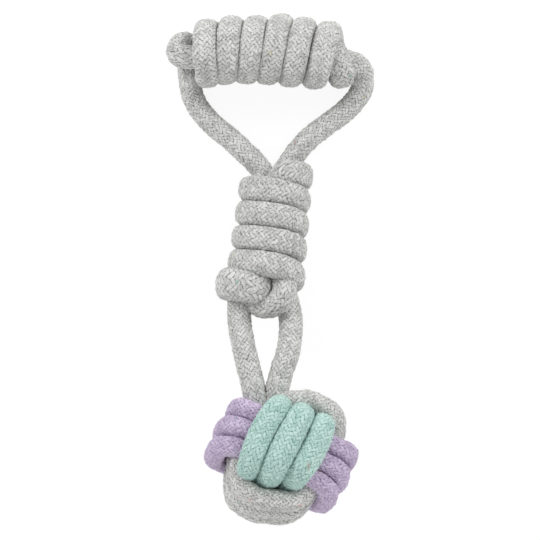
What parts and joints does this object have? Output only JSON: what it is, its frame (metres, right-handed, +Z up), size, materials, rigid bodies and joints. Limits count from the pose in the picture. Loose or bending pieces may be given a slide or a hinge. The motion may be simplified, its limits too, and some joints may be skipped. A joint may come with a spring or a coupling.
{
  "type": "rope dog toy",
  "caption": "Rope dog toy for tugging and throwing: a loop of grey braided rope with a wound grip, a knot in the middle, and a woven ball of mint, lilac and grey rope.",
  "frame": {"origin": "middle of the part's outline, on the floor that it lies on", "axes": "+Y from the ball towards the grip, +X along the grip to the right, +Z up from the floor"},
  "size_m": [0.0912, 0.2214, 0.0666],
  "materials": {
    "grey_rope": "mottled grey braided cotton",
    "mint_rope": "mint braided cotton",
    "lilac_rope": "lilac braided cotton",
    "core_padding": "undyed wadding"
  },
  "bodies": {
    "knot": {"knot_winding": "grey_rope", "knot_strand_left": "grey_rope", "knot_strand_right": "grey_rope", "knot_tail_right": "grey_rope"},
    "upper_loop": {"upper_leg_left": "grey_rope", "upper_leg_right": "grey_rope"},
    "grip": {"grip_winding": "grey_rope", "grip_core": "grey_rope", "grip_end_hook": "grey_rope"},
    "lower_loop": {"lower_leg_left": "grey_rope", "lower_leg_right": "grey_rope"},
    "ball": {"ball_mint_rope": "mint_rope", "ball_lilac_rope": "lilac_rope", "ball_grey_rope": "grey_rope", "ball_grey_tail": "grey_rope", "ball_core": "core_padding"}
  },
  "joints": [
    {"name": "upper_loop_fold", "type": "hinge", "parent": "knot", "child": "upper_loop", "pos_m": [0, 0.05433, 0.01108], "axis": [1, 0, 0], "range_deg": [-60, 60]},
    {"name": "grip_roll", "type": "hinge", "parent": "upper_loop", "child": "grip", "pos_m": [0, 0.08312, 0.006], "axis": [1, 0, 0], "range_deg": [-45, 40]},
    {"name": "lower_loop_fold", "type": "hinge", "parent": "knot", "child": "lower_loop", "pos_m": [0, -0.02258, 0.02464], "axis": [1, 0, 0], "range_deg": [-50, 45]},
    {"name": "ball_swing", "type": "hinge", "parent": "lower_loop", "child": "ball", "pos_m": [0, -0.04741, 0.03508], "axis": [1, 0, 0], "range_deg": [-45, 40]}
  ]
}
